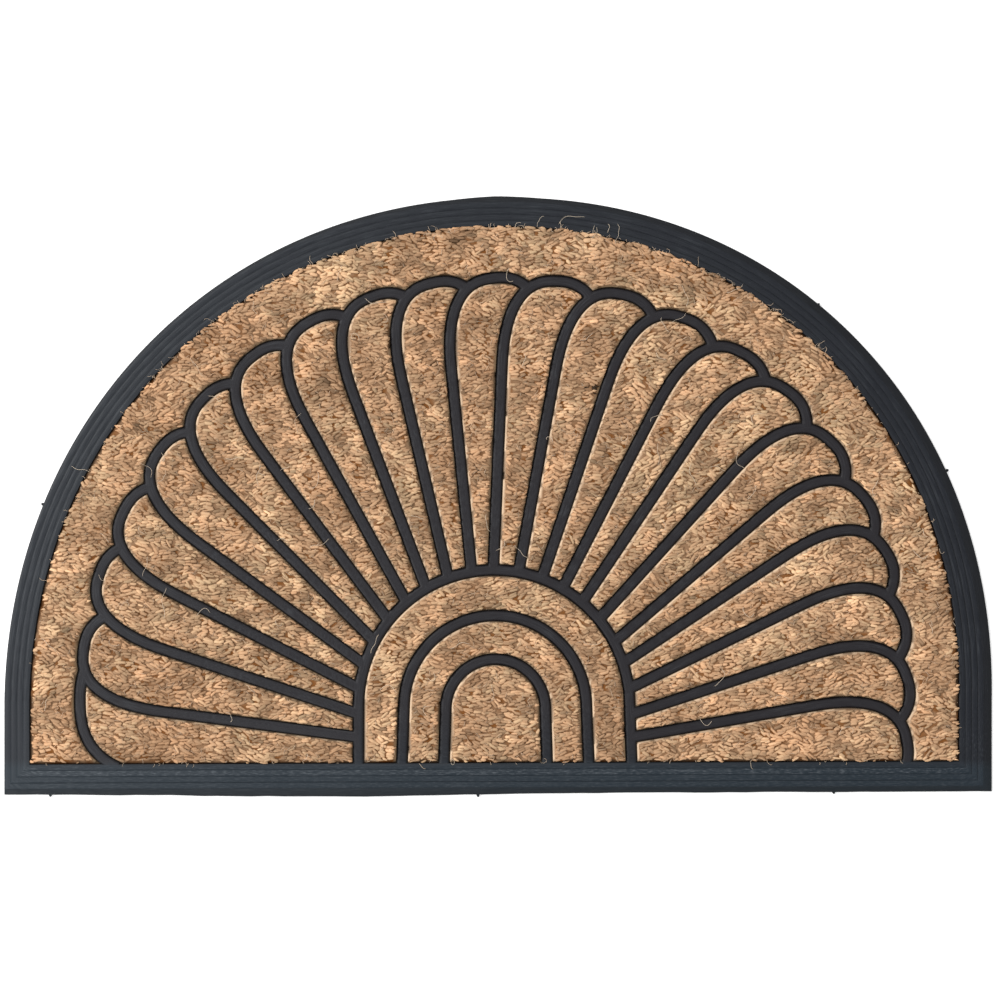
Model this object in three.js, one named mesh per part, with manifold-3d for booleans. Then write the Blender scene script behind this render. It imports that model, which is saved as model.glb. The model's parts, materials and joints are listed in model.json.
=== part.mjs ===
// Half-round coir doormat: a black rubber moulding with a ridged border and a fan of raised ribs,
// and one piece of coir matting that lies in its pocket, pressed down under every rib.
// Millimetres, +Z up. The origin is the middle of the underside, the straight edge is at -Y.

import * as THREE from "three";
import Module from "manifold-3d";

const wasm = await Module();
wasm.setup();

// Driving dimensions of the whole mat, measured on its flat underside
const MAT_WIDTH = 750;
const MAT_DEPTH = 455;
const SIDE_HEIGHT = 72.5; // straight side, from the straight edge up to where the arc starts
const ARC_POWER = 2.07; // a hair fuller than a true ellipse
const LEAN = 0.0184; // the arc of this soft mat leans to +X as it rises
const ARC_STEPS = 44;
const EDGE_STEPS = 8;

const STRAIGHT_EDGE_Y = -MAT_DEPTH / 2;
const ARC_BASE_Y = STRAIGHT_EDGE_Y + SIDE_HEIGHT;

// The straight edge is trimmed by hand: it rises towards +X and has one shallow belly
const TRIM = { start: 1.2, rise: 2.6, belly: 2.1, bellyAt: 0.33, bellyWidth: 0.17 };

// Heights above the floor
const BACKING_TOP = 2.0;
const EDGE_TOP = 2.8;
const RIB_UNDERSIDE = 4.2;
const RIB_SHOULDER = 5.0;
const RIB_TOP = 5.8;
const COIR_TOP = 9.0;
const GAP = 0.3; // between the coir and the rubber

// The pocket that holds the coir, and the ridges of the border around it. Its straight side lies a
// little askew: it rises by footRise from -X to +X
const POCKET = { x: -2.8, halfWidth: 352.4, rise: 359.9, footY: -202.8, footRise: 2.4 };
const RIDGES = { first: 2.4, pitch: 4.8, halfBase: 1.7, halfTop: 0.9, relief: 0.8 };
const RIDGE_TOPS = [6.0, 5.4, 4.7, 4.0]; // from the pocket outwards, the border slopes down
const SHOULDER_TOP = 5.0;

// Three arches stand on the straight border, one inside the other, the inmost first. halfSpread is
// half the distance between an arch's two feet at the mat's straight edge
const ARCHES = [
  { radius: 37.8, x: -1.9, y: -161.0, halfSpread: 39.9 },
  { radius: 69.2, x: -2.2, y: -159.2, halfSpread: 71.9 },
  { radius: 102.9, x: -3.0, y: -158.4, halfSpread: 104.1 },
];
const ARCH_FOOT_X = -1.9;
const ARCH_STEPS = 18;

// The fan: each rib runs straight from the outer arch and then curls over towards +X. The angles are
// in degrees about the fan's centre, where the rib leaves the arch and where it is tipRadius away
const FAN = { x: -1.9, y: -161.2, rootRadius: 103.5, tipRadius: 250 };
const FAN_RIBS = [
  { root: -12.0, tip: 1.0 },
  { root: -2.0, tip: 10.0 },
  { root: 9.0, tip: 19.0 },
  { root: 20.0, tip: 28.0 },
  { root: 29.5, tip: 36.0 },
  { root: 41.0, tip: 45.0 },
  { root: 51.0, tip: 54.0 },
  { root: 61.0, tip: 62.0 },
  { root: 70.5, tip: 71.0 },
  { root: 80.5, tip: 80.0 },
  { root: 91.0, tip: 89.0 },
  { root: 100.0, tip: 97.5 },
  { root: 110.0, tip: 106.0 },
  { root: 120.0, tip: 114.5 },
  { root: 130.0, tip: 123.5 },
  { root: 140.5, tip: 132.5 },
  { root: 151.0, tip: 141.5 },
  { root: 161.5, tip: 151.0 },
  { root: 171.5, tip: 160.5 },
  { root: 182.0, tip: 170.0 },
  { root: 192.0, tip: 180.5 },
];
// The last rib lies under the straight border, and only its wider curl shows
const HOOK = { root: 208.0, tip: 191.5, reach: 56 };
// A curl is a rounded crook whose crown touches an envelope that follows the mat's own arc, and it
// ends on the curl of the rib before it
const CURL = { reach: 39, length: 68, power: 2.5, turn: 150, steps: 13 };
const ENVELOPE = { x: -3.5, halfWidth: 313.8, rise: 321.2 };
const HALVINGS = 30; // rounds of the search for a curl's crown

// Half widths of the ribs, and of the channels that they press into the coir
const RIB_HALF_BASE = 4.2;
const RIB_HALF_TOP = 2.8;
const RIB_BURIED = RIDGES.first; // how far the ribs run into the border's first ridge
const CHANNEL = { bottom: RIB_UNDERSIDE - GAP, halfBottom: RIB_HALF_BASE + GAP };
const CHANNEL_WAIST = { z: 7.2, half: 4.9 };
const CHANNEL_MOUTH = { z: 9.6, half: 7.2 };

// The coir's rounded rim, as insets from the pocket's wall
const COIR_RIM = [
  { inset: GAP, z: BACKING_TOP + GAP },
  { inset: GAP, z: 5.6 },
  { inset: 1.1, z: 7.8 },
  { inset: 3.0, z: COIR_TOP },
];

function lean(x, y) {
  return [x + LEAN * Math.max(0, y - ARC_BASE_Y), y];
}

function trimmedEdge(share) {
  const belly = Math.exp(-(((share - TRIM.bellyAt) / TRIM.bellyWidth) ** 2));
  return STRAIGHT_EDGE_Y + TRIM.start + TRIM.rise * share - TRIM.belly * belly;
}

// A D-shaped ring: up the right side, over the arc, down the left side, back along the foot.
function dRing(shape, grow, z, footAt) {
  const ring = [];
  const half = shape.halfWidth + grow;
  const rise = shape.rise + grow;
  for (let i = 0; i <= ARC_STEPS; i++) {
    const angle = (Math.PI * i) / ARC_STEPS;
    const across = Math.sign(Math.cos(angle)) * Math.abs(Math.cos(angle)) ** (2 / ARC_POWER);
    const up = Math.abs(Math.sin(angle)) ** (2 / ARC_POWER);
    const [x, y] = lean(shape.x + half * across, ARC_BASE_Y + rise * up);
    ring.push([x, y, z]);
  }
  for (let i = 0; i <= EDGE_STEPS; i++) {
    const share = i / EDGE_STEPS;
    ring.push([shape.x - half + 2 * half * share, footAt(share) - grow, z]);
  }
  return ring;
}

const pocketFoot = (share) => POCKET.footY + POCKET.footRise * share;
const pocketRing = (grow, z) => dRing(POCKET, grow, z, pocketFoot);
const OUTLINE = { x: 0, halfWidth: MAT_WIDTH / 2, rise: MAT_DEPTH - SIDE_HEIGHT };
const outlineRing = (z) => dRing(OUTLINE, 0, z, trimmedEdge);

function capTriangles(ring) {
  const flat = ring.every((p) => p[2] === ring[0][2]);
  const far = ring.reduce((a, b) => {
    const reach = (p) => Math.hypot(p[0] - ring[0][0], p[1] - ring[0][1]);
    return reach(b) > reach(a) ? b : a;
  });
  const side = new THREE.Vector2(far[0] - ring[0][0], far[1] - ring[0][1]).normalize();
  const along = (p) => (p[0] - ring[0][0]) * side.x + (p[1] - ring[0][1]) * side.y;
  const points = ring.map((p) => new THREE.Vector2(flat ? p[0] : along(p), flat ? p[1] : p[2]));
  return THREE.ShapeUtils.triangulateShape(points, []);
}

function signedVolume(positions, index) {
  const [a, b, c] = [new THREE.Vector3(), new THREE.Vector3(), new THREE.Vector3()];
  let volume = 0;
  for (let i = 0; i < index.length; i += 3) {
    a.fromArray(positions, 3 * index[i]);
    b.fromArray(positions, 3 * index[i + 1]);
    c.fromArray(positions, 3 * index[i + 2]);
    volume += a.dot(b.cross(c)) / 6;
  }
  return volume;
}

// Joins rings of equally many points into one closed skin with both ends capped.
function skin(rings) {
  const count = rings[0].length;
  const index = [];
  for (let r = 0; r + 1 < rings.length; r++) {
    for (let i = 0; i < count; i++) {
      const a = r * count + i;
      const b = r * count + ((i + 1) % count);
      index.push(a, b, b + count, a, b + count, a + count);
    }
  }
  // A cap's triangles are turned so that each runs against the wall that it closes
  const last = (rings.length - 1) * count;
  for (const [base, ring, isFirst] of [[0, rings[0], true], [last, rings.at(-1), false]]) {
    for (const [i, j, k] of capTriangles(ring)) {
      const forwards = windsForwards(i, j, k);
      const keep = forwards !== isFirst;
      index.push(base + i, base + (keep ? j : k), base + (keep ? k : j));
    }
  }
  const positions = rings.flat(2);
  if (signedVolume(positions, index) < 0) index.reverse();
  const geometry = new THREE.BufferGeometry();
  geometry.setAttribute("position", new THREE.Float32BufferAttribute(positions, 3));
  geometry.setIndex(index);
  return geometry;
}

// True if the corners i, j and k of a ring come in the ring's own order.
function windsForwards(i, j, k) {
  return (i < j && j < k) || (j < k && k < i) || (k < i && i < j);
}

function toSolid(geometry) {
  const vertProperties = new Float32Array(geometry.attributes.position.array);
  const triVerts = new Uint32Array(geometry.index.array);
  return new wasm.Manifold(new wasm.Mesh({ numProp: 3, vertProperties, triVerts }));
}

function toGeometry(solid) {
  const mesh = solid.getMesh();
  const geometry = new THREE.BufferGeometry();
  geometry.setAttribute("position", new THREE.BufferAttribute(new Float32Array(mesh.vertProperties), 3));
  geometry.setIndex(new THREE.BufferAttribute(new Uint32Array(mesh.triVerts), 1));
  geometry.computeVertexNormals();
  return geometry;
}

// Sweeps an upright section, given as [across, z] points, along a line on the mat.
function strip(line, section) {
  const rings = line.map((point, i) => {
    const before = line[Math.max(0, i - 1)];
    const after = line[Math.min(line.length - 1, i + 1)];
    const ahead = after.clone().sub(before).normalize();
    return section.map(([across, z]) => [point.x - ahead.y * across, point.y + ahead.x * across, z]);
  });
  return toSolid(skin(rings));
}

// How far a point lies above the pocket's straight side.
function heightOverFoot(point) {
  const share = (point.x - POCKET.x + POCKET.halfWidth) / (2 * POCKET.halfWidth);
  return point.y - pocketFoot(share);
}

// The part of a line that reaches no more than the given depth into the straight border.
function clipToBorder(line, depth) {
  const kept = [];
  for (let i = 0; i < line.length; i++) {
    const here = heightOverFoot(line[i]) + depth;
    if (here >= 0) kept.push(line[i]);
    if (i + 1 === line.length) break;
    const next = heightOverFoot(line[i + 1]) + depth;
    if (here >= 0 !== next >= 0) kept.push(line[i].clone().lerp(line[i + 1], here / (here - next)));
  }
  return kept;
}

function archLine(arch) {
  const line = [new THREE.Vector2(ARCH_FOOT_X + arch.halfSpread, STRAIGHT_EDGE_Y)];
  for (let i = 0; i <= ARCH_STEPS; i++) {
    const angle = (Math.PI * i) / ARCH_STEPS;
    const [x, y] = [arch.radius * Math.cos(angle), arch.radius * Math.sin(angle)];
    line.push(new THREE.Vector2(arch.x + x, arch.y + y));
  }
  line.push(new THREE.Vector2(ARCH_FOOT_X - arch.halfSpread, STRAIGHT_EDGE_Y));
  return line;
}

function fanPoint(radius, degrees) {
  const angle = THREE.MathUtils.degToRad(degrees);
  return new THREE.Vector2(FAN.x + radius * Math.cos(angle), FAN.y + radius * Math.sin(angle));
}

function insideEnvelope(point) {
  const up = Math.max(0, point.y - ARC_BASE_Y);
  const across = Math.abs(point.x - ENVELOPE.x - LEAN * up) / ENVELOPE.halfWidth;
  return across ** ARC_POWER + (up / ENVELOPE.rise) ** ARC_POWER < 1;
}

// How far the crown of a curl lies along its rib, found by halving until it touches the envelope.
function crownDistance(crownLineStart, ahead) {
  let [near, far] = [FAN.rootRadius, ENVELOPE.rise];
  for (let i = 0; i < HALVINGS; i++) {
    const middle = (near + far) / 2;
    if (insideEnvelope(crownLineStart.clone().addScaledVector(ahead, middle))) near = middle;
    else far = middle;
  }
  return near;
}

function fanLine(rib) {
  const reach = rib.reach ?? CURL.reach;
  const root = fanPoint(FAN.rootRadius, rib.root);
  const ahead = fanPoint(FAN.tipRadius, rib.tip).sub(root).normalize();
  const aside = new THREE.Vector2(ahead.y, -ahead.x);
  const crown = crownDistance(root.clone().addScaledVector(aside, reach), ahead);
  const line = [root];
  for (let i = 0; i <= CURL.steps; i++) {
    const turned = THREE.MathUtils.degToRad((CURL.turn * i) / CURL.steps);
    const swing = Math.sign(Math.cos(turned)) * Math.abs(Math.cos(turned)) ** (2 / CURL.power);
    const across = reach * (1 - swing);
    const along = crown - CURL.length * (1 - Math.sin(turned) ** (2 / CURL.power));
    line.push(root.clone().addScaledVector(aside, across).addScaledVector(ahead, along));
  }
  return line;
}

// Where the stretch from a to b crosses the stretch from c to d, or null.
function crossing(a, b, c, d) {
  const [ab, cd, ac] = [b.clone().sub(a), d.clone().sub(c), c.clone().sub(a)];
  const turn = ab.cross(cd);
  if (turn === 0) return null;
  const [share, other] = [ac.cross(cd) / turn, ac.cross(ab) / turn];
  const meets = share >= 0 && share <= 1 && other >= 0 && other <= 1;
  return meets ? a.clone().lerp(b, share) : null;
}

// A line up to the place where it first meets another one.
function endOn(line, other) {
  for (let i = 1; i < line.length; i++) {
    for (let j = 1; j < other.length; j++) {
      const meeting = crossing(line[i - 1], line[i], other[j - 1], other[j]);
      if (meeting) return [...line.slice(0, i), meeting];
    }
  }
  return line;
}

// Sweeps a section along every line of the design, each ending at a depth in the straight border.
function sweepDesign(section, depth) {
  const whole = [...FAN_RIBS, HOOK].map(fanLine);
  const fan = whole.map((line, i) => (i === 0 ? line : endOn(line, whole[i - 1])));
  return ARCHES.map(archLine)
    .concat(fan)
    .map((line) => strip(clipToBorder(line, depth), section))
    .reduce((joined, next) => joined.add(next));
}

function mirrored(halfSection) {
  return halfSection.concat(halfSection.map(([across, z]) => [-across, z]).reverse());
}

// From the underside up the outer edge, over the ridges and down into the pocket.
function traySolid() {
  const rings = [outlineRing(0), outlineRing(EDGE_TOP)];
  for (let i = RIDGE_TOPS.length - 1; i >= 0; i--) {
    const centre = RIDGES.first + i * RIDGES.pitch;
    const top = RIDGE_TOPS[i];
    rings.push(pocketRing(centre + RIDGES.halfBase, top - RIDGES.relief));
    rings.push(pocketRing(centre + RIDGES.halfTop, top));
    rings.push(pocketRing(centre - RIDGES.halfTop, top));
  }
  rings.push(pocketRing(0, SHOULDER_TOP), pocketRing(0, BACKING_TOP));
  return toSolid(skin(rings));
}

function rubberMoulding() {
  const section = mirrored([
    [RIB_HALF_BASE, RIB_UNDERSIDE],
    [RIB_HALF_BASE, RIB_SHOULDER],
    [RIB_HALF_TOP, RIB_TOP],
  ]);
  return toGeometry(traySolid().add(sweepDesign(section, RIB_BURIED)));
}

function coirMatting() {
  const blank = toSolid(skin(COIR_RIM.map((row) => pocketRing(-row.inset, row.z))));
  const channel = mirrored([
    [CHANNEL.halfBottom, CHANNEL.bottom],
    [CHANNEL_WAIST.half, CHANNEL_WAIST.z],
    [CHANNEL_MOUTH.half, CHANNEL_MOUTH.z],
  ]);
  return toGeometry(blank.subtract(sweepDesign(channel, RIB_BURIED + 2 * GAP)));
}

function piece(name, geometry, look) {
  const mesh = new THREE.Mesh(geometry, new THREE.MeshStandardMaterial(look));
  mesh.name = name;
  return mesh;
}

const BLACK_RUBBER = { color: 0x3a3e43, roughness: 0.7, metalness: 0 };
const GOLDEN_COIR = { color: 0xaf8a6a, roughness: 0.95, metalness: 0 };

const doormat = new THREE.Group();
doormat.name = "half_round_coir_doormat";
doormat.add(piece("rubber_moulding", rubberMoulding(), BLACK_RUBBER));
doormat.add(piece("coir_matting", coirMatting(), GOLDEN_COIR));

export default doormat;
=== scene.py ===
"""Half-round coir doormat: a black rubber moulding with a ridged border and a fan of raised ribs, and
coir matting pressed into its pocket, with the plies of its yarn and its loose fibres."""

import functools
import json
import math

import bmesh
import bpy
import numpy as np
from bpy.props import FloatProperty, FloatVectorProperty, IntProperty, PointerProperty
from bpy.types import Operator, Panel, PropertyGroup
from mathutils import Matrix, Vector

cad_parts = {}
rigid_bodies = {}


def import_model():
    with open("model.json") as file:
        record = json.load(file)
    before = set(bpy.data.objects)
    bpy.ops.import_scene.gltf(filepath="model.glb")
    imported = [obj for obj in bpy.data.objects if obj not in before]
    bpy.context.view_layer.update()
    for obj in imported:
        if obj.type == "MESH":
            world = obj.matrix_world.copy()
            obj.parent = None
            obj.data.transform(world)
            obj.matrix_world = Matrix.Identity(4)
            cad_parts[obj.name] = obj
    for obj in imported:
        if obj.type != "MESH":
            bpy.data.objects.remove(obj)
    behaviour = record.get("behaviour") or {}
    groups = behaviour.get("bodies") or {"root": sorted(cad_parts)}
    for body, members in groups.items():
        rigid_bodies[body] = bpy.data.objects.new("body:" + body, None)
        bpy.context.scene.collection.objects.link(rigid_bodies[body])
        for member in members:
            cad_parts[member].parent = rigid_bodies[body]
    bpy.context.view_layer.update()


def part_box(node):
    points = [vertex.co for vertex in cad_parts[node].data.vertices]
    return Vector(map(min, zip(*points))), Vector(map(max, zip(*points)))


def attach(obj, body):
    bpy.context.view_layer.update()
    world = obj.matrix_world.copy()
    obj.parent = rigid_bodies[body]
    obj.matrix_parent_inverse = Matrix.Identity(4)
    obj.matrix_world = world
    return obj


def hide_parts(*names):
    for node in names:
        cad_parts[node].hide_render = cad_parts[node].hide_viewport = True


bl_info = {
    "name": "Half-round coir doormat",
    "version": (1, 0, 0),
    "blender": (4, 5, 0),
    "location": "View3D > Sidebar > Doormat",
    "description": "Makes the rubber, the coir and its fibres of a half-round doormat, and a stage for it",
    "category": "Object",
}

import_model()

# Plan sizes are in millimetres, as in the source of the solids
MM = 0.001
RUBBER_LOW, RUBBER_HIGH = [np.array(corner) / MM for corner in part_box("rubber_moulding")]
COIR_LOW, COIR_HIGH = [np.array(corner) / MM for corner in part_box("coir_matting")]
MAT_WIDTH = RUBBER_HIGH[0] - RUBBER_LOW[0]
STRAIGHT_EDGE_Y = -RUBBER_HIGH[1]
MAT_DEPTH = -2 * STRAIGHT_EDGE_Y
SIDE_HEIGHT = 72.5
ARC_BASE_Y = STRAIGHT_EDGE_Y + SIDE_HEIGHT
ARC_POWER = 2.07
LEAN = 0.0184
ARC_STEPS = 260
EDGE_STEPS = 60

# The straight edge is trimmed by hand
TRIM = {"start": 1.2, "rise": 2.6, "belly": 2.1, "belly_at": 0.33, "belly_width": 0.17}

PEAK = {"x": -1.5, "half_width": 34.0, "rise": 1.0}
OUTLINE = {"x": 0.0, "half_width": MAT_WIDTH / 2, "rise": MAT_DEPTH - SIDE_HEIGHT}
POCKET = {"x": -2.8, "half_width": 352.4, "rise": 359.9}
POCKET_FOOT_Y = -202.8
POCKET_FOOT_RISE = 2.4

# Three arches, the inmost first
ARCHES = [
    {"radius": 37.8, "x": -1.9, "y": -161.0, "half_spread": 39.9},
    {"radius": 69.2, "x": -2.2, "y": -159.2, "half_spread": 71.9},
    {"radius": 102.9, "x": -3.0, "y": -158.4, "half_spread": 104.1},
]
ARCH_FOOT_X = -1.9
ARCH_STEPS = 72

# The fan's ribs: degrees about its centre, at the outer arch and at the tip radius
FAN = {"x": -1.9, "y": -161.2, "root_radius": 103.5, "tip_radius": 250.0}
FAN_RIBS = [
    {"root": -12.0, "tip": 1.0},
    {"root": -2.0, "tip": 10.0},
    {"root": 9.0, "tip": 19.0},
    {"root": 20.0, "tip": 28.0},
    {"root": 29.5, "tip": 36.0},
    {"root": 41.0, "tip": 45.0},
    {"root": 51.0, "tip": 54.0},
    {"root": 61.0, "tip": 62.0},
    {"root": 70.5, "tip": 71.0},
    {"root": 80.5, "tip": 80.0},
    {"root": 91.0, "tip": 89.0},
    {"root": 100.0, "tip": 97.5},
    {"root": 110.0, "tip": 106.0},
    {"root": 120.0, "tip": 114.5},
    {"root": 130.0, "tip": 123.5},
    {"root": 140.5, "tip": 132.5},
    {"root": 151.0, "tip": 141.5},
    {"root": 161.5, "tip": 151.0},
    {"root": 171.5, "tip": 160.5},
    {"root": 182.0, "tip": 170.0},
    {"root": 192.0, "tip": 180.5},
]
HOOK = {"root": 208.0, "tip": 191.5, "reach": 56.0}
CURL = {"reach": 39.0, "length": 68.0, "power": 2.5, "turn": 150.0, "steps": 42}
ENVELOPE = {"x": -3.5, "half_width": 313.8, "rise": 321.2}
HALVINGS = 30

# Heights above the floor
BACKING_TOP = 2.0
EDGE_PROFILE = [(0.0, 0.0), (0.0, 2.2), (-0.25, 2.6), (-0.7, 2.8)]
RIDGE_FIRST = 2.4
RIDGE_PITCH = 4.8
RIDGE_TOPS = [6.0, 5.4, 4.7, 4.0]
RIDGE_PROFILE = [(2.3, 0.5), (2.0, 0.18), (1.6, 0.03), (0.0, 0.0), (-1.6, 0.03), (-2.0, 0.18)]
SHOULDER_PROFILE = [(0.45, 4.95), (0.1, 4.7), (0.0, 4.2), (0.0, BACKING_TOP)]
RIB_PROFILE = [(4.2, 4.2), (4.12, 4.65), (3.7, 5.15), (3.15, 5.5), (2.5, 5.74), (1.5, 5.8)]

# The second ridge of the straight border is scuffed
SCUFFED = {"ridge": 1, "extra": 1.5}

# How much painted sheen, like a pale bloom, shows at the far left
BORDER_PAINTED_SHEEN = 0.085
RIB_PAINTED_SHEEN = 0.052

# Specks of flash that the mould left on the outer edge
NUBS = [(-346.2, -5.4), (243.6, 146.4), (341.5, 20.4), (-340.1, -227.0), (-15.2, -227.2), (255.0, -224.8)]

# The coir's bed, by the distance from a rib's middle and by the inset from the wall
GAP = 0.3
CHANNEL_PROFILE = [(4.5, 3.9), (4.88, 6.9), (6.0, 7.9), (7.6, 8.35), (11.0, 8.6)]
RIM_PROFILE = [(0.3, 4.2), (1.3, 4.5), (2.0, 6.7), (3.0, 7.3), (6.0, 7.75), (12.0, 8.35), (18.0, 8.6)]
CREASE_DROP = 0.6
RIB_LIMIT = 4.95
WALL_LIMIT = 0.9
# The lobes overhang the border at the top and keep back from it low on the left
TOP_OVERHANG = 1.7
LEFT_RECESS = 0.7
LOBE_LOWEST = 6.2
# Painted highlight: share by which the coir is paler where it meets the left wall, which faces the key light
BRIM_HIGHLIGHT = 0.4

# The pads' edges that face this way, towards the key light, are pressed smooth, and the lobes of yarn keep
# back from them; the bed paints a pale highlight on them
LIT_SIDE = np.array([-0.89, 0.45])
SMOOTH_WIDTH = 0.8

# The yarn shows as slanting lobes. Each has its section given by half widths across and shares of its rise
LOBE_PITCH = (4.6, 2.1)
LOBE_SLANT = 8.0
LOBE_CROSSED = 152.0
LOBE_STATIONS = (-0.56, 0.56)
LOBE_SECTION = [(-1.0, -0.35), (-0.62, 0.7), (0.0, 1.0), (0.62, 0.7), (1.0, -0.35)]
# Soft unevenness over the plan: the pads' height in millimetres, the yarn's hue and shade,
# and its slant in degrees
PAD_SWELLS = [{"amount": 0.5, "cell": 15, "seed": 5}, {"amount": 0.45, "cell": 8, "seed": 3}]
TINT_PATCHES = [{"amount": 0.45, "cell": 44, "seed": 31}, {"amount": 0.55, "cell": 12, "seed": 37}]
TINT_SHADES = [{"amount": 0.14, "cell": 17, "seed": 51}, {"amount": 0.32, "cell": 9, "seed": 53}]
SLANT_DRIFT = [{"amount": 14, "cell": 26, "seed": 47}, {"amount": 16, "cell": 8, "seed": 49}]

# Painted shade: how much dark husk colour each vertex of a lobe has, most on its low sides and its tips
LOBE_PAINTED_SHADE = [0.28, 0.06, 0.0, 0.06, 0.28] * len(LOBE_STATIONS) + [0.2, 0.2]


def tone(red, green, blue):
    """A colour given in sRGB from 0 to 255, as linear RGBA."""
    shares = [channel / 255 for channel in (red, green, blue)]
    linear = [c / 12.92 if c <= 0.04045 else ((c + 0.055) / 1.055) ** 2.4 for c in shares]
    return (*linear, 1.0)


# Settings


def colour_setting(name, description, red, green, blue):
    default = tone(red, green, blue)
    return FloatVectorProperty(name=name, description=description, default=default, size=4, subtype="COLOR")


def length_setting(name, description, metres):
    kind = {"subtype": "DISTANCE", "unit": "LENGTH"}
    return FloatProperty(name=name, description=description, default=metres, **kind)


def strength_setting(name, description, default):
    return FloatProperty(name=name, description=description, default=default, min=0)


def count_setting(name, description, default):
    return IntProperty(name=name, description=description, default=default, min=0)


class RubberSettings(PropertyGroup):
    """Sizes and colours of the rubber moulding."""

    black: colour_setting("Rubber black", "Colour of the moulded rubber", 7, 12, 21)
    # Bluer, and lighter as a painted sheen on the straight border
    foot_black: colour_setting("Foot black", "Colour of the straight border, which is bluer", 15, 27, 36)
    rib_black: colour_setting("Rib black", "Colour of the ribs, warmed by coir dust", 20, 17, 22)
    # The pale colour of real dust and scuffs, also used for the painted sheen to the left
    dust_and_sheen: colour_setting("Dust", "Colour of the dust and scuffs on the rubber", 94, 99, 104)
    nub_length: length_setting("Nub length", "How far a speck of flash stands out of the edge", 0.0009)


class CoirSettings(PropertyGroup):
    """Sizes and colours of the coir matting and the plies of its yarn."""

    lobe_length: length_setting("Lobe length", "Length of one lobe of the yarn as it shows", 0.0070)
    lobe_width: length_setting("Lobe width", "Width of one lobe of the yarn", 0.0027)
    lobe_rise: length_setting("Lobe rise", "How far a lobe of the yarn stands above the creases", 0.00115)
    golden: colour_setting("Golden", "Main colour of the coir", 175, 140, 108)
    straw: colour_setting("Straw", "Colour of the pale, yellower yarn", 191, 161, 126)
    russet: colour_setting("Russet", "Colour of the redder yarn", 170, 132, 99)
    # The dark husk colour, which also paints the shade in the creases and on the lobes' low sides
    husk_and_shade: colour_setting("Husk", "Colour of the dark husk between the lobes", 114, 70, 30)
    # A painted highlight: the pale colour of the pads' edges that face the key light
    painted_edge_highlight: colour_setting("Lip", "Colour of the pads' smooth pressed edges", 216, 188, 158)
    seed: count_setting("Seed", "Seed of the yarn's unevenness", 11)


class FibreSettings(PropertyGroup):
    """Sizes of the loose fibres on the coir."""

    fuzz_count: count_setting("Fuzz count", "Number of short fibres lying on the pads", 2600)
    brim_count: count_setting("Brim fibres", "Number of fibres that stand out over the border", 1000)
    stray_count: count_setting("Stray hairs", "Number of long loose hairs over the whole mat", 70)
    thickness: length_setting("Thickness", "Thickness of a coir fibre", 0.00034)
    pale: colour_setting("Pale", "Colour of a loose fibre", 222, 206, 184)
    seed: count_setting("Seed", "Seed of the fibres' places", 23)


class StageSettings(PropertyGroup):
    """Floor, light and camera."""

    floor_size: length_setting("Floor size", "Width of the square floor", 12.0)
    floor_glow: strength_setting("Floor glow", "How brightly the floor glows", 0.3)
    sky_strength: strength_setting("Sky", "Strength of the even light", 0.85)
    key_strength: strength_setting("Key", "Strength of the light from the left", 2.3)
    gloss_power: strength_setting("Gloss", "Power of the soft box over the left side", 5.0)
    view_width: length_setting("View width", "Width of what the camera sees on the mat", 0.759)
    focal_length: FloatProperty(
        name="Focal length",
        description="Focal length of the camera in millimetres",
        default=135.0,
        subtype="DISTANCE_CAMERA",
    )


# The plan of the mat


def leaned(points):
    """The arc of this soft mat leans to +X as it rises."""
    shift = LEAN * np.maximum(0, points[:, 1] - ARC_BASE_Y)
    return np.stack([points[:, 0] + shift, points[:, 1]], axis=1)


def trimmed_edge(share):
    belly = np.exp(-(((share - TRIM["belly_at"]) / TRIM["belly_width"]) ** 2))
    return STRAIGHT_EDGE_Y + TRIM["start"] + TRIM["rise"] * share - TRIM["belly"] * belly


def pocket_foot(share):
    return POCKET_FOOT_Y + POCKET_FOOT_RISE * share


def bent_power(values, power):
    return np.sign(values) * np.abs(values) ** (2 / power)


def d_ring(shape, grow, foot_at):
    """A D-shaped ring of plan points: over the arc from +X to -X, and back along the foot."""
    half = shape["half_width"] + grow
    rise = shape["rise"] + grow
    angle = np.linspace(0, math.pi, ARC_STEPS + 1)
    across = half * bent_power(np.cos(angle), ARC_POWER)
    up = rise * bent_power(np.sin(angle).clip(0), ARC_POWER)
    arc = leaned(np.stack([shape["x"] + across, ARC_BASE_Y + up], axis=1))
    share = np.linspace(0, 1, EDGE_STEPS + 1)
    foot = np.stack([shape["x"] - half + 2 * half * share, foot_at(share) - grow], axis=1)
    return np.concatenate([arc, foot])


def outline_ring(grow):
    """The mat's outer edge, with the blunt peak at its top and the slight waves of a hand trim."""
    ring = d_ring(OUTLINE, grow, trimmed_edge)
    peak = PEAK["rise"] * np.clip(1 - np.abs(ring[:, 0] - PEAK["x"]) / PEAK["half_width"], 0, 1)
    top = ring[:, 1] > 0
    ring[:, 1] += np.where(top, peak, 0.35 * smooth_noise(ring, 11, 83) * (ring[:, 1] < POCKET_FOOT_Y))
    return ring


def pocket_ring(grow):
    return d_ring(POCKET, grow, pocket_foot)


def height_over_foot(points):
    share = (points[..., 0] - POCKET["x"] + POCKET["half_width"]) / (2 * POCKET["half_width"])
    return points[..., 1] - pocket_foot(share)


def clip_to_border(line, depth):
    """The part of a line that reaches no more than the given depth into the straight border."""
    above = height_over_foot(line) + depth
    kept = []
    for i, here in enumerate(above):
        if here >= 0:
            kept.append(line[i])
        if i + 1 < len(line) and (here >= 0) != (above[i + 1] >= 0):
            kept.append(line[i] + (line[i + 1] - line[i]) * here / (here - above[i + 1]))
    return np.array(kept)


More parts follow.
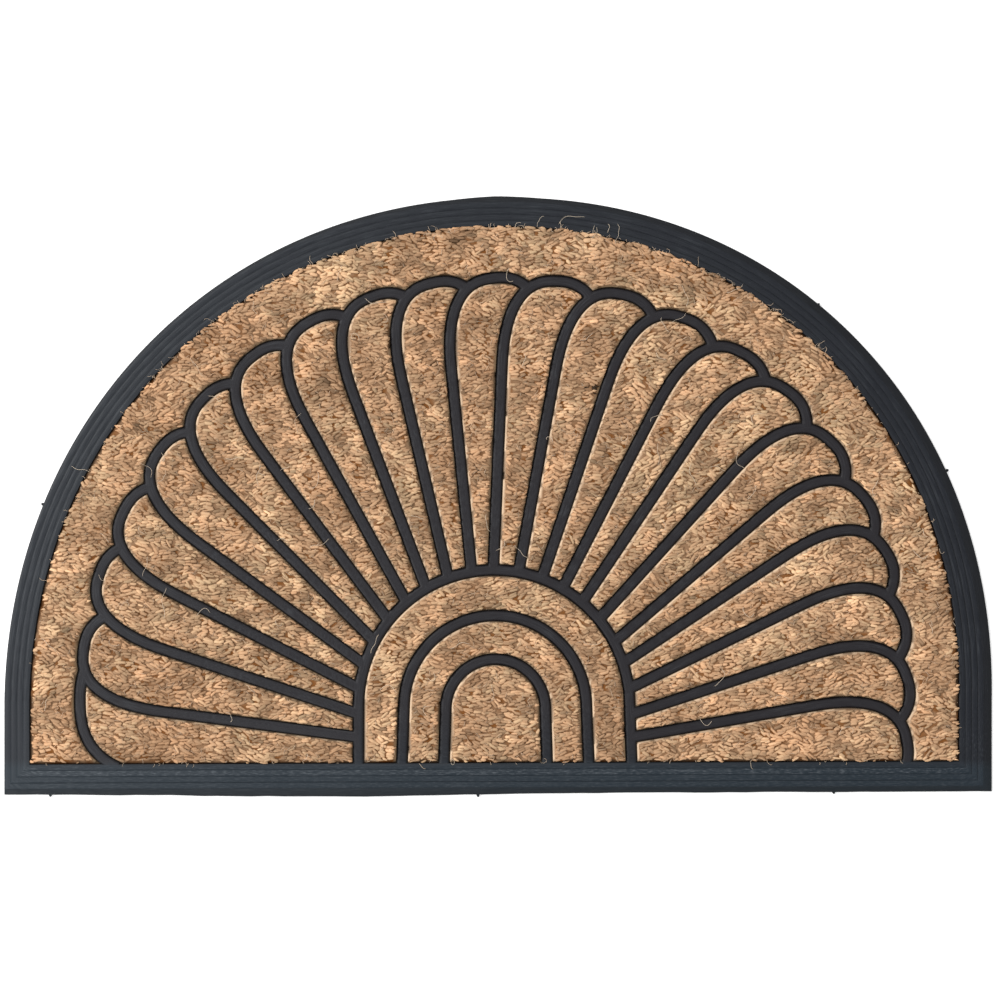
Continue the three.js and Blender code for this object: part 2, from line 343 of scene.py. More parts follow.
def arch_line(arch):
    angle = np.linspace(0, math.pi, ARCH_STEPS + 1)
    bow = arch["radius"] * np.stack([np.cos(angle), np.sin(angle)], axis=1) + [arch["x"], arch["y"]]
    feet = [[ARCH_FOOT_X + side * arch["half_spread"], STRAIGHT_EDGE_Y] for side in (1, -1)]
    return np.concatenate([feet[:1], bow, feet[1:]])


def fan_point(radius, degrees):
    angle = math.radians(degrees)
    return np.array([FAN["x"] + radius * math.cos(angle), FAN["y"] + radius * math.sin(angle)])


def inside_arc(shape, points):
    """Whether plan points lie under a leaning arc and between its straight sides."""
    up = np.maximum(0, points[..., 1] - ARC_BASE_Y)
    across = np.abs(points[..., 0] - shape["x"] - LEAN * up) / shape["half_width"]
    return across**ARC_POWER + (up / shape["rise"]) ** ARC_POWER < 1


def crown_distance(start, ahead):
    """How far the crown of a curl lies along its rib, found by halving until it touches the envelope."""
    near, far = FAN["root_radius"], ENVELOPE["rise"]
    for _ in range(HALVINGS):
        middle = (near + far) / 2
        if inside_arc(ENVELOPE, start + ahead * middle):
            near = middle
        else:
            far = middle
    return near


def fan_line(rib):
    """A rib runs straight from the outer arch and then curls over towards +X."""
    reach = rib.get("reach", CURL["reach"])
    root = fan_point(FAN["root_radius"], rib["root"])
    ahead = fan_point(FAN["tip_radius"], rib["tip"]) - root
    ahead /= np.linalg.norm(ahead)
    aside = np.array([ahead[1], -ahead[0]])
    crown = crown_distance(root + aside * reach, ahead)
    turned = np.radians(np.linspace(0, CURL["turn"], CURL["steps"] + 1))
    across = reach * (1 - bent_power(np.cos(turned), CURL["power"]))
    along = crown - CURL["length"] * (1 - bent_power(np.sin(turned), CURL["power"]))
    curl = root + np.outer(across, aside) + np.outer(along, ahead)
    return np.concatenate([[root], curl])


def end_on(line, other):
    """A line up to the place where it first meets another one."""
    start, ahead = other[:-1], np.diff(other, axis=0)
    for i in range(1, len(line)):
        step = line[i] - line[i - 1]
        gap = start - line[i - 1]
        turn = step[0] * ahead[:, 1] - step[1] * ahead[:, 0]
        turn = np.where(turn == 0, np.inf, turn)
        share = (gap[:, 0] * ahead[:, 1] - gap[:, 1] * ahead[:, 0]) / turn
        along = (gap[:, 0] * step[1] - gap[:, 1] * step[0]) / turn
        meets = (share >= 0) & (share <= 1) & (along >= 0) & (along <= 1)
        if meets.any():
            return np.concatenate([line[:i], [line[i - 1] + step * share[meets].min()]])
    return line


@functools.lru_cache(maxsize=1)
def design_lines():
    """The middle lines of the arches and of the fan's ribs."""
    whole = [fan_line(rib) for rib in [*FAN_RIBS, HOOK]]
    fan = [whole[0]] + [end_on(line, before) for before, line in zip(whole, whole[1:])]
    arches = [arch_line(arch) for arch in ARCHES]
    fan = [end_on(line[::-1], arches[-1])[::-1] for line in fan]
    return [clip_to_border(line, RIDGE_FIRST) for line in arches + fan]


# Distance fields over the plan

FIELD_STEP = 0.5
FIELD_LOW = np.array([-384.0, -236.0])
FIELD_SIZE = (1537, 945)
FIELD_FAR = 30.0


def field_points():
    """The field's x and y, each as a grid."""
    x = FIELD_LOW[0] + FIELD_STEP * np.arange(FIELD_SIZE[0])
    y = FIELD_LOW[1] + FIELD_STEP * np.arange(FIELD_SIZE[1])
    return np.meshgrid(x, y, indexing="ij")


def distance_field(lines):
    """The distance from every field point to the nearest line, up to FIELD_FAR."""
    x, y = field_points()
    field = np.full(FIELD_SIZE, FIELD_FAR)
    for line in lines:
        for a, b in zip(line, line[1:]):
            low = ((np.minimum(a, b) - FIELD_FAR - FIELD_LOW) / FIELD_STEP).astype(int).clip(0)
            high = ((np.maximum(a, b) + FIELD_FAR - FIELD_LOW) / FIELD_STEP).astype(int) + 2
            window = (slice(low[0], high[0]), slice(low[1], high[1]))
            dx, dy = x[window] - a[0], y[window] - a[1]
            step = b - a
            share = ((dx * step[0] + dy * step[1]) / max(step @ step, 1e-12)).clip(0, 1)
            away = np.hypot(dx - share * step[0], dy - share * step[1])
            field[window] = np.minimum(field[window], away)
    return field


@functools.lru_cache(maxsize=1)
def rib_field():
    """The distance to the nearest rib's middle line."""
    return distance_field(design_lines())


@functools.lru_cache(maxsize=1)
def wall_field():
    """The inset from the pocket's wall, which is negative under the border."""
    ring = pocket_ring(0)
    plan = np.stack(field_points(), axis=-1)
    inside = inside_arc(POCKET, plan) & (height_over_foot(plan) > 0)
    away = distance_field([np.concatenate([ring, ring[:1]])])
    return np.where(inside, away, -away)


def sample(field, points):
    """The field's value at plan points, blended between its four nearest."""
    place = (points - FIELD_LOW) / FIELD_STEP
    corner = np.floor(place).astype(int)
    corner = np.clip(corner, 0, np.array(FIELD_SIZE) - 2)
    share = np.clip(place - corner, 0, 1)
    i, j = corner[..., 0], corner[..., 1]
    u, v = share[..., 0], share[..., 1]
    near = field[i, j] * (1 - u) + field[i + 1, j] * u
    far = field[i, j + 1] * (1 - u) + field[i + 1, j + 1] * u
    return near * (1 - v) + far * v


def slope(field, points):
    """The direction in which the field grows, as unit plan vectors."""
    step_x, step_y = np.array([FIELD_STEP, 0]), np.array([0, FIELD_STEP])
    grown = np.stack(
        [
            sample(field, points + step_x) - sample(field, points - step_x),
            sample(field, points + step_y) - sample(field, points - step_y),
        ],
        axis=-1,
    )
    return grown / np.maximum(np.linalg.norm(grown, axis=-1, keepdims=True), 1e-6)


def pushed(points, field, level):
    """Points that lie below a level of the field, moved up its slope onto that level."""
    short = np.maximum(0, level - sample(field, points))
    return points + slope(field, points) * short[..., None]


def smooth_noise(points, scale, seed):
    """Soft noise from -1 to 1 over the plan, with cells of the given size in millimetres."""
    values = np.random.default_rng(seed).uniform(-1, 1, (64, 64))
    place = (points + 1000) / scale
    corner = np.floor(place).astype(int)
    share = place - corner
    share = share * share * (3 - 2 * share)
    i, j = corner[..., 0] % 63, corner[..., 1] % 63
    u, v = share[..., 0], share[..., 1]
    near = values[i, j] * (1 - u) + values[i + 1, j] * u
    far = values[i, j + 1] * (1 - u) + values[i + 1, j + 1] * u
    return near * (1 - v) + far * v


def layered_noise(points, layers):
    return sum(row["amount"] * smooth_noise(points, row["cell"], row["seed"]) for row in layers)


def pad_height(points):
    """Height over the floor of the pads that the yarn lies on."""
    channel = np.interp(sample(rib_field(), points), *zip(*CHANNEL_PROFILE))
    inset = sample(wall_field(), points)
    rim = np.interp(inset - 0.9 * smooth_noise(points, 6, 67) * (inset > 1), *zip(*RIM_PROFILE))
    flat = np.minimum(channel, rim)
    share = np.clip((flat - 6.6) / 1.5, 0, 1)
    return flat + share * layered_noise(points, PAD_SWELLS)


def crease_depth(points):
    """How far the bed lies below the pads' height, so that it shows only as creases between the lobes."""
    brim = np.minimum(sample(rib_field(), points) - RIB_LIMIT, sample(wall_field(), points) - WALL_LIMIT)
    return CREASE_DROP * np.clip(brim / 1.5, 0, 1)


def cover_height(points):
    """Height of whatever a loose fibre lies on: coir, rib or border."""
    border = np.interp(-sample(wall_field(), points), [0, 3, 22], [5.6, 6.1, 3.4])
    rib = np.where(sample(rib_field(), points) < RIB_PROFILE[0][0], 5.85, 0)
    pad = np.maximum(pad_height(points), LOBE_LOWEST) + 0.7
    return np.maximum(np.where(sample(wall_field(), points) > 0, pad, border), rib)


# Meshes


def new_object(name, mesh):
    piece = bpy.data.objects.new(name, mesh)
    bpy.context.scene.collection.objects.link(piece)
    return piece


def mesh_of(name, points, corners):
    """A mesh from points in millimetres and faces that all have equally many corners."""
    mesh = bpy.data.meshes.new(name)
    mesh.vertices.add(len(points))
    mesh.vertices.foreach_set("co", (points * MM).astype(np.float32).ravel())
    mesh.loops.add(corners.size)
    mesh.loops.foreach_set("vertex_index", corners.astype(np.int32).ravel())
    mesh.polygons.add(len(corners))
    mesh.polygons.foreach_set("loop_start", np.arange(0, corners.size, corners.shape[1], dtype=np.int32))
    mesh.polygons.foreach_set("use_smooth", np.ones(len(corners), bool))
    mesh.update(calc_edges=True)
    return mesh


def paint(mesh, name, colours):
    """Gives every vertex a colour under the given attribute name."""
    layer = mesh.color_attributes.new(name, "FLOAT_COLOR", "POINT")
    layer.data.foreach_set("color", np.asarray(colours, np.float32).ravel())


def skin(name, rings):
    """Joins rings of equally many points into one closed skin with both ends capped."""
    count = len(rings[0])
    points = np.concatenate(rings)
    here = np.arange(count)
    after = (here + 1) % count
    faces = []
    for low in range(0, len(points) - count, count):
        high = low + count
        faces += np.stack([low + here, low + after, high + after, high + here], axis=1).tolist()
    faces.append(here[::-1].tolist())
    faces.append((len(points) - count + here).tolist())
    mesh = bpy.data.meshes.new(name)
    mesh.from_pydata(points * MM, [], faces)
    if signed_volume(mesh) < 0:
        mesh.flip_normals()
    return mesh


def vertex_points(mesh):
    """A mesh's vertices in millimetres."""
    points = np.zeros(len(mesh.vertices) * 3)
    mesh.vertices.foreach_get("co", points)
    return points.reshape(-1, 3) / MM


def signed_volume(mesh):
    """Six times a closed mesh's volume, which is negative where its faces point inward."""
    mesh.calc_loop_triangles()
    corners = np.zeros(len(mesh.loop_triangles) * 3, np.int32)
    mesh.loop_triangles.foreach_get("vertices", corners)
    a, b, c = vertex_points(mesh)[corners.reshape(-1, 3)].transpose(1, 0, 2)
    return float((a * np.cross(b, c)).sum())


def closed_tubes(rings, tips):
    """Points and triangles of closed tubes. Rings are (tubes, stations, sides, 3), tips (tubes, 2, 3)."""
    tubes, stations, sides, _ = rings.shape
    points = np.concatenate([rings.reshape(tubes, -1, 3), tips], axis=1)
    here = np.arange(sides)
    after = (here + 1) % sides
    start_tip, end_tip = stations * sides, stations * sides + 1
    faces = [np.stack([after, here, np.full(sides, start_tip)], axis=1)]
    for low in range(0, (stations - 1) * sides, sides):
        faces.append(np.stack([low + here, low + after, low + sides + after], axis=1))
        faces.append(np.stack([low + here, low + sides + after, low + sides + here], axis=1))
    last = (stations - 1) * sides
    faces.append(np.stack([last + here, last + after, np.full(sides, end_tip)], axis=1))
    pattern = np.concatenate(faces)
    per_tube = points.shape[1]
    corners = (np.arange(tubes) * per_tube)[:, None, None] + pattern[None]
    return points.reshape(-1, 3), corners.reshape(-1, 3), per_tube


# Materials


def add_node(tree, kind, inputs=None, **settings):
    """A node with its settings, and its inputs set to values or linked to sockets."""
    node = tree.nodes.new(kind)
    for name, value in settings.items():
        setattr(node, name, value)
    for name, value in (inputs or {}).items():
        if isinstance(value, bpy.types.NodeSocket):
            tree.links.new(value, node.inputs[name])
        else:
            node.inputs[name].default_value = value
    return node


def new_material(name):
    """A material with an empty node tree but for the shader and the output."""
    material = bpy.data.materials.new(name)
    material.use_nodes = True
    tree = material.node_tree
    tree.nodes.clear()
    shader = add_node(tree, "ShaderNodeBsdfPrincipled")
    add_node(tree, "ShaderNodeOutputMaterial", {"Surface": shader.outputs["BSDF"]})
    return material, tree, shader


def mixed(tree, share, first, second, blend="MIX"):
    """The colour between two colours or sockets, by a share."""
    node = add_node(tree, "ShaderNodeMix", data_type="RGBA", blend_type=blend)
    for socket, value in ((node.inputs["Factor"], share), (node.inputs[6], first), (node.inputs[7], second)):
        if isinstance(value, bpy.types.NodeSocket):
            tree.links.new(value, socket)
        else:
            socket.default_value = value
    return node.outputs[2]


def noise(tree, vector, scale, detail=3.0, roughness=0.55):
    inputs = {"Vector": vector, "Scale": scale, "Detail": detail, "Roughness": roughness}
    return add_node(tree, "ShaderNodeTexNoise", inputs).outputs["Fac"]


def ramp(tree, value, low, high):
    """A value stretched so that low becomes 0 and high becomes 1."""
    inputs = {"Value": value, "From Min": low, "From Max": high}
    return add_node(tree, "ShaderNodeMapRange", inputs).outputs["Result"]


def combined(tree, operation, values):
    """Many values or sockets taken together, from the left."""
    first, *others = values
    for other in others:
        first = add_node(tree, "ShaderNodeMath", {0: first, 1: other}, operation=operation).outputs[0]
    return first


def product(tree, *values):
    return combined(tree, "MULTIPLY", values)


def total(tree, *values):
    return combined(tree, "ADD", values)


def attribute(tree, name, output):
    return add_node(tree, "ShaderNodeAttribute", attribute_name=name).outputs[output]


def drawn_noise(tree, grain, across, along, detail, low, high):
    """Noise drawn out along a band, from 0 to 1, with its scale across the band and along it."""
    run = add_node(tree, "ShaderNodeMapping", {"Vector": grain, "Scale": (across, along, 1.0)})
    return ramp(tree, noise(tree, run.outputs["Vector"], 1.0, detail, 0.6), low, high)


def shaded(tree, colour, shade):
    """A colour made darker or lighter by a grey value."""
    grey = add_node(tree, "ShaderNodeCombineColor", {"Red": shade, "Green": shade, "Blue": shade})
    return mixed(tree, 1.0, colour, grey.outputs["Color"], "MULTIPLY")


def set_surface(tree, shader, colour, height, specular):
    """Gives the shader its colour, its fine relief and its constant specular level."""
    tree.links.new(colour, shader.inputs["Base Color"])
    bump = add_node(tree, "ShaderNodeBump", {"Height": height, "Strength": 0.3, "Distance": 0.0002})
    tree.links.new(bump.outputs["Normal"], shader.inputs["Normal"])
    shader.inputs["Specular IOR Level"].default_value = specular


def rubber_material(settings):
    """Matt moulded rubber: bluer on the straight border and lighter there as painted sheen, with a painted
    sheen like a pale bloom to the left, painted shade in its grooves, and scuffed on its crests.
    """
    material, tree, shader = new_material("moulded_rubber")
    place = add_node(tree, "ShaderNodeTexCoord").outputs["Object"]
    parts = add_node(tree, "ShaderNodeSeparateXYZ", {"Vector": place}).outputs
    grain = attribute(tree, "grain", "Vector")
    crest_wear_and_shade = attribute(tree, "crest_wear_and_shade", "Fac")
    on_rib = attribute(tree, "on_rib", "Fac")
    # The underneath is plain, so the drawn lines stop at the foot of the edge
    upper = ramp(tree, parts["Z"], 0.0012, 0.002)
    streaks = product(tree, drawn_noise(tree, grain, 1.3, 0.045, 4.0, 0.5, 0.78), upper)
    lines = product(tree, drawn_noise(tree, grain, 2.4, 0.07, 4.0, 0.46, 0.72), upper)
    flecks = product(tree, drawn_noise(tree, grain, 1.5, 0.22, 3.0, 0.49, 0.7), upper)
    patches = ramp(tree, noise(tree, place, 26.0, 4.0), 0.42, 0.66)
    specks = ramp(tree, noise(tree, place, 520.0, 2.0), 0.64, 0.8)
    # Painted sheen: the pale colour, like a bloom, grows towards -X and the upper left where the light from
    # the left would gleam, less on the ribs, and more on the crests than in the grooves
    up = product(tree, total(tree, parts["Y"], 0.155), total(tree, -0.35, product(tree, on_rib, 0.35)))
    lit_from_left = ramp(tree, total(tree, parts["X"], up), 0.37, -0.38)
    painted_sheen_falloff = product(tree, lit_from_left, lit_from_left)
    cloudy = total(tree, 0.75, product(tree, noise(tree, place, 11.0, 4.0), 0.5))
    sheen_by_crest = total(tree, 0.7, product(tree, crest_wear_and_shade, 0.35))
    by_rib = total(tree, BORDER_PAINTED_SHEEN, product(tree, on_rib, RIB_PAINTED_SHEEN - BORDER_PAINTED_SHEEN))
    foot = ramp(tree, parts["Y"], -0.199, -0.206)
    # The pale share: painted sheen, drawn lines that are paler to the left with it, and real scuffs, specks
    # and flecks
    dust_and_sheen = total(
        tree,
        product(tree, painted_sheen_falloff, cloudy, sheen_by_crest, by_rib),
        product(tree, lines, total(tree, 0.05, product(tree, painted_sheen_falloff, 0.14))),
        product(tree, streaks, patches, crest_wear_and_shade, 0.25),
        product(tree, specks, 0.05),
        product(tree, flecks, crest_wear_and_shade, total(tree, 0.03, product(tree, foot, 0.17))),
    )
    # The straight border is bluer, and lighter as painted sheen
    border = mixed(tree, foot, tuple(settings.black), tuple(settings.foot_black))
    black = mixed(tree, on_rib, border, tuple(settings.rib_black))
    # Painted shade: grooves and the sides of the ribs are darker than the crests
    black = shaded(tree, black, total(tree, 0.45, product(tree, ramp(tree, crest_wear_and_shade, 0.0, 0.8), 0.55)))
    roughness = add_node(tree, "ShaderNodeMapRange", {"Value": streaks, "To Min": 0.48, "To Max": 0.62})
    tree.links.new(roughness.outputs["Result"], shader.inputs["Roughness"])
    height = total(tree, noise(tree, place, 900.0, 3.0), streaks)
    set_surface(tree, shader, mixed(tree, dust_and_sheen, black, tuple(settings.dust_and_sheen)), height, 0.25)
    return material


def coir_material(name, roughness=0.7):
    """Coir fibre bundles: the painted tint, broken up by a fine grain."""
    material, tree, shader = new_material(name)
    place = add_node(tree, "ShaderNodeTexCoord").outputs["Object"]
    fine = noise(tree, place, 1100.0, 3.0, 0.6)
    spread = {"Value": fine, "From Min": 0.3, "From Max": 0.7, "To Min": 0.93, "To Max": 1.06}
    shade = add_node(tree, "ShaderNodeMapRange", spread).outputs["Result"]
    set_surface(tree, shader, shaded(tree, attribute(tree, "tint", "Color"), shade), fine, 0.12)
    shader.inputs["Roughness"].default_value = roughness
    return material


# Pieces


def make_nub(index, settings):
    """A speck of flash: a small cone that stands out of the mat's edge."""
    x, y = NUBS[index]
    centre = np.array([x, y])
    out = centre - [0, ARC_BASE_Y] if y >= ARC_BASE_Y else np.array([0.0, -1.0])
    out = out / np.hypot(*out)
    side = np.array([-out[1], out[0]])
    length = settings.nub_length / MM
    rings = []
    for share, half in ((-1.5, 1.3), (0.2, 0.9), (1.0, 0.3)):
        middle = centre + out * length * share
        corners = [(-1, 0.4), (1, 0.4), (1, 1.9), (-1, 1.9)]
        rings.append(np.array([[*(middle + side * half * across), z] for across, z in corners]))
    return skin(f"nub_{index}", rings)


def rib_mesh(index, line):
    """Sweeps the rib's rounded section along a line."""
    half = np.array(RIB_PROFILE)
    section = np.concatenate([half, (half * [-1, 1])[::-1]])
    ahead = np.gradient(line, axis=0)
    ahead /= np.linalg.norm(ahead, axis=1, keepdims=True)
    left = np.stack([-ahead[:, 1], ahead[:, 0]], axis=1)
    rings = []
    for point, side in zip(line, left):
        plan = point + np.outer(section[:, 0], side)
        rings.append(np.column_stack([plan, section[:, 1]]))
    return skin(f"rib_{index}", rings)


def tray_mesh():
    """From the underside up the outer edge, over the ridges and down into the pocket."""
    rings = [(outline_ring(grow), z) for grow, z in EDGE_PROFILE]
    for number in reversed(range(len(RIDGE_TOPS))):
        middle = RIDGE_FIRST + number * RIDGE_PITCH
        for offset, drop in RIDGE_PROFILE:
            rings.append((pocket_ring(middle + offset), RIDGE_TOPS[number] - drop))
    rings += [(pocket_ring(grow), z) for grow, z in SHOULDER_PROFILE]
    return skin("tray", [np.column_stack([plan, np.full(len(plan), z)]) for plan, z in rings])


def rib_grain(points):
    """How far each plan point lies across its nearest rib, and how far along it."""
    nearest = np.full(len(points), np.inf)
    across, along = np.zeros(len(points)), np.zeros(len(points))
    for number, line in enumerate(design_lines()):
        reached = 53.0 * number
        for a, b in zip(line, line[1:]):
            step = b - a
            length = max(np.hypot(*step), 1e-6)
            from_a = points - a
            share = (from_a @ step / length**2).clip(0, 1)
            away = np.hypot(*(from_a - np.outer(share, step)).T)
            closer = away < nearest
            turn = (step[0] * from_a[:, 1] - step[1] * from_a[:, 0]) / length
            nearest = np.where(closer, away, nearest)
            across = np.where(closer, turn, across)
            along = np.where(closer, reached + share * length, along)
            reached += length
    return across, along


def paint_rubber(mesh):
    """Marks how near its crest each vertex is, which drives both the scuffs and the painted shade in the
    grooves, whether it is on a rib, and where it lies along and across its band.
    """
    points = vertex_points(mesh)
    plan, height = points[:, :2], points[:, 2]
    inset = sample(wall_field(), plan)
    on_rib = inset > -0.4
    ridge = np.clip(np.round((-inset - RIDGE_FIRST) / RIDGE_PITCH), 0, len(RIDGE_TOPS) - 1).astype(int)
    drop = np.where(on_rib, RIB_PROFILE[-1][1], np.array(RIDGE_TOPS)[ridge]) - height
    crest_wear_and_shade = np.clip(1 - drop / 0.7, 0, 1)
    foot = plan[:, 1] < POCKET_FOOT_Y + POCKET_FOOT_RISE
    crest_wear_and_shade += SCUFFED["extra"] * crest_wear_and_shade * (foot & (ridge == SCUFFED["ridge"]) & ~on_rib)
    across, along = rib_grain(plan)
    round_arc = 330 * np.arctan2(plan[:, 1] - ARC_BASE_Y, plan[:, 0])
    border_along = np.where(plan[:, 1] < POCKET_FOOT_Y, plan[:, 0], round_arc)
    across = np.where(on_rib, across, inset)
    along = np.where(on_rib, along, border_along)
    grain = np.stack([across, along, on_rib * 9.0], axis=1)
    for name, kind, key, values in (
        ("grain", "FLOAT_VECTOR", "vector", grain),
        ("crest_wear_and_shade", "FLOAT", "value", crest_wear_and_shade),
        ("on_rib", "FLOAT", "value", on_rib),
    ):
        layer = mesh.attributes.new(name, kind, "POINT")
        layer.data.foreach_set(key, np.asarray(values, np.float32).ravel())


def rubber_moulding(settings):
    """The tray with its ribs and nubs joined into one skin."""
    extras = [rib_mesh(i, line) for i, line in enumerate(design_lines())]
    extras += [make_nub(i, settings) for i in range(len(NUBS))]
    parts = bpy.data.collections.new("rubber_parts")
    bpy.context.scene.collection.children.link(parts)
    for mesh in extras:
        parts.objects.link(bpy.data.objects.new(mesh.name, mesh))
    piece = new_object("moulded_rubber_tray", tray_mesh())
    join = piece.modifiers.new("join", "BOOLEAN")
    join.operation = "UNION"
    join.solver = "MANIFOLD"
    join.operand_type = "COLLECTION"
    join.collection = parts
    shown = piece.evaluated_get(bpy.context.evaluated_depsgraph_get())
    piece.data = bpy.data.meshes.new_from_object(shown)
    piece.modifiers.clear()
    for part in list(parts.objects):
        bpy.data.objects.remove(part)
    bpy.data.collections.remove(parts)
    piece.data.polygons.foreach_set("use_smooth", np.ones(len(piece.data.polygons), bool))
    piece.data.set_sharp_from_angle(angle=math.radians(38))
    paint_rubber(piece.data)
    return piece


# Spacing of the bed's points, how wide a brim's own colour shows,
# and how bright its rough sides, which face away from the key light, and its creases are, both as painted
# shade
BED_STEP = 2.0
BRIM_WIDTH = 2.2
SHADED_BRIM = 0.45
CREASE_SHADED_RUSSET = 0.6


def coir_bed(settings):
    """The pressed matting: a fine top that follows every channel, straight sides and a flat underside."""
    x = np.arange(-364.0, 366.0, BED_STEP)
    y = np.arange(-214.0, 216.0, BED_STEP)
    plan = np.stack(np.meshgrid(x, y, indexing="ij"), axis=-1)
    inset = sample(wall_field(), plan)
    inside = inset > GAP
    index = np.arange(len(x) * len(y)).reshape(len(x), len(y))
    corners = [index[:-1, :-1], index[1:, :-1], index[1:, 1:], index[:-1, 1:]]
    quads = np.stack(corners, axis=-1).reshape(-1, 4)
    quads = quads[inside.ravel()[quads].any(axis=1)]
    # What lies near a channel's wall goes to its foot or to its brim, and what lies outside to the rim
    away = sample(rib_field(), plan)
    foot, brim = CHANNEL_PROFILE[0][0], CHANNEL_PROFILE[1][0]
    split = (foot + brim) / 2
    target = np.where(away < split, foot, brim)
    near = (away > foot - 2.1) & (away < brim + 0.9)
    shift = np.where(near, target - away, 0)
    plan = plan + slope(rib_field(), plan) * shift[..., None]
    plan = pushed(plan, wall_field(), GAP)
    height = pad_height(plan) - crease_depth(plan)
    points = np.column_stack([plan.reshape(-1, 2), height.ravel()])
    used, corners = np.unique(quads, return_inverse=True)
    mesh = mesh_of("pressed_coir_bed", points[used], corners.reshape(-1, 4))
    close_underneath(mesh, COIR_LOW[2] * MM)
    return new_object("pressed_coir_bed", mesh)


def paint_bed(mesh, settings):
    """The bed's painted light and colour: a painted highlight on the brims that face the key light, painted
    shade on those that face away, dark husk darkened as painted shade in the creases between the lobes, and
    more painted shade the lower it lies.
    """
    points = vertex_points(mesh)
    plan, height = points[:, :2], points[:, 2:]
    near_rib = np.clip(1 - (sample(rib_field(), plan) - RIB_LIMIT) / BRIM_WIDTH, 0, 1)[:, None]
    # Painted light at the brims: a pale highlight where the edge faces the key light, painted shade where it
    # faces away
    smooth = facing_lit_side(rib_field(), plan)[:, None]
    brim = np.array(settings.painted_edge_highlight) * smooth + SHADED_BRIM * np.array(settings.straw) * (1 - smooth)
    brim = brim * (1 + 0.16 * smooth_noise(plan, 9, 73))[:, None]
    # Painted shade in the creases: dark husk in patches, else russet at a lower share
    dark = np.clip(0.3 + 1.1 * smooth_noise(plan, 6, 71), 0, 1)[:, None]
    crease = np.array(settings.husk_and_shade) * dark + CREASE_SHADED_RUSSET * np.array(settings.russet) * (1 - dark)
    colour = brim * near_rib + crease * (1 - near_rib)
    # Painted shade: the lower the bed lies, down a channel's wall or in the recess by the border, the darker
    # it is
    colour *= 0.2 + 0.8 * np.clip((height - CHANNEL_PROFILE[0][1]) / 3, 0, 1)
    paint(mesh, "tint", colour)


def close_underneath(mesh, bottom):
    """Draws the open rim down to the bottom and closes it with one flat face."""
    work = bmesh.new()
    work.from_mesh(mesh)
    rim = [edge for edge in work.edges if edge.is_boundary]
    drawn = bmesh.ops.extrude_edge_only(work, edges=rim)["geom"]
    for vertex in drawn:
        if isinstance(vertex, bmesh.types.BMVert):
            vertex.co.z = bottom
    low_edges = [edge for edge in drawn if isinstance(edge, bmesh.types.BMEdge) and edge.is_boundary]
    bmesh.ops.holes_fill(work, edges=low_edges, sides=0)
    bmesh.ops.recalc_face_normals(work, faces=work.faces)
    work.to_mesh(mesh)
    work.free()


def coir_tints(points, settings, rng, spread=0.05):
    """A colour for each plan point: golden, and paler or redder in patches."""
    golden, straw, russet = (np.array(c[:3]) for c in (settings.golden, settings.straw, settings.russet))
    patch = layered_noise(points, TINT_PATCHES) + rng.normal(0, 0.28, len(points))
    to_straw = np.clip(patch, 0, 1)[:, None]
    to_russet = np.clip(-patch, 0, 1)[:, None]
    colour = golden * (1 - to_straw - to_russet) + straw * to_straw + russet * to_russet
    # Short dashes that lie along the rows of the weave, in softer clumps
    dashes = smooth_noise(points * [0.62, 1.25], 5.5, 59)
    shade = layered_noise(points, TINT_SHADES) + 0.26 * dashes
    shade -= np.clip(smooth_noise(points, 6, 57) - 0.42, 0, 1)
    shade += rng.normal(0, spread, len(points))
    return colour * np.exp(shade)[:, None]


def yarn_lobes(rng):
    """Middle and slant of every lobe of the yarn, row by row, with the ones over a rib left out."""
    pitch_x, pitch_y = LOBE_PITCH
    rows = np.arange(COIR_LOW[1], COIR_HIGH[1] + pitch_y, pitch_y)
    columns = np.arange(COIR_LOW[0], COIR_HIGH[0] + pitch_x, pitch_x)
    x, y = np.meshgrid(columns, rows)
    x = x + rng.uniform(0, pitch_x, (len(rows), 1))
    middle = np.stack([x.ravel(), y.ravel()], axis=1)
    count = len(middle)
    middle += rng.normal(0, 1, (count, 2)) * [1.3, 0.55]
    middle[:, 1] += 3.0 * smooth_noise(middle, 48, 41)
    slant = LOBE_SLANT + 6 * np.clip(middle[:, 0] / 300, -0.4, 1) + rng.normal(0, 13, count)
    slant += layered_noise(middle, SLANT_DRIFT)
    crossed = (smooth_noise(middle, 9, 43) > 0.45) | (rng.random(count) < 0.07)
    slant = np.where(crossed, LOBE_CROSSED + rng.normal(0, 14, count), slant)
    at_rib, at_wall = edge_limits(middle)
    away, inset = sample(rib_field(), middle), sample(wall_field(), middle)
    kept = (away > at_rib - 0.5) & (inset > at_wall - 0.5)
    middle = middle[kept]
    for _ in range(2):
        at_rib, at_wall = edge_limits(middle)
        middle = pushed(pushed(middle, rib_field(), at_rib + 0.6), wall_field(), at_wall + 0.4)
    return middle, np.radians(slant[kept])


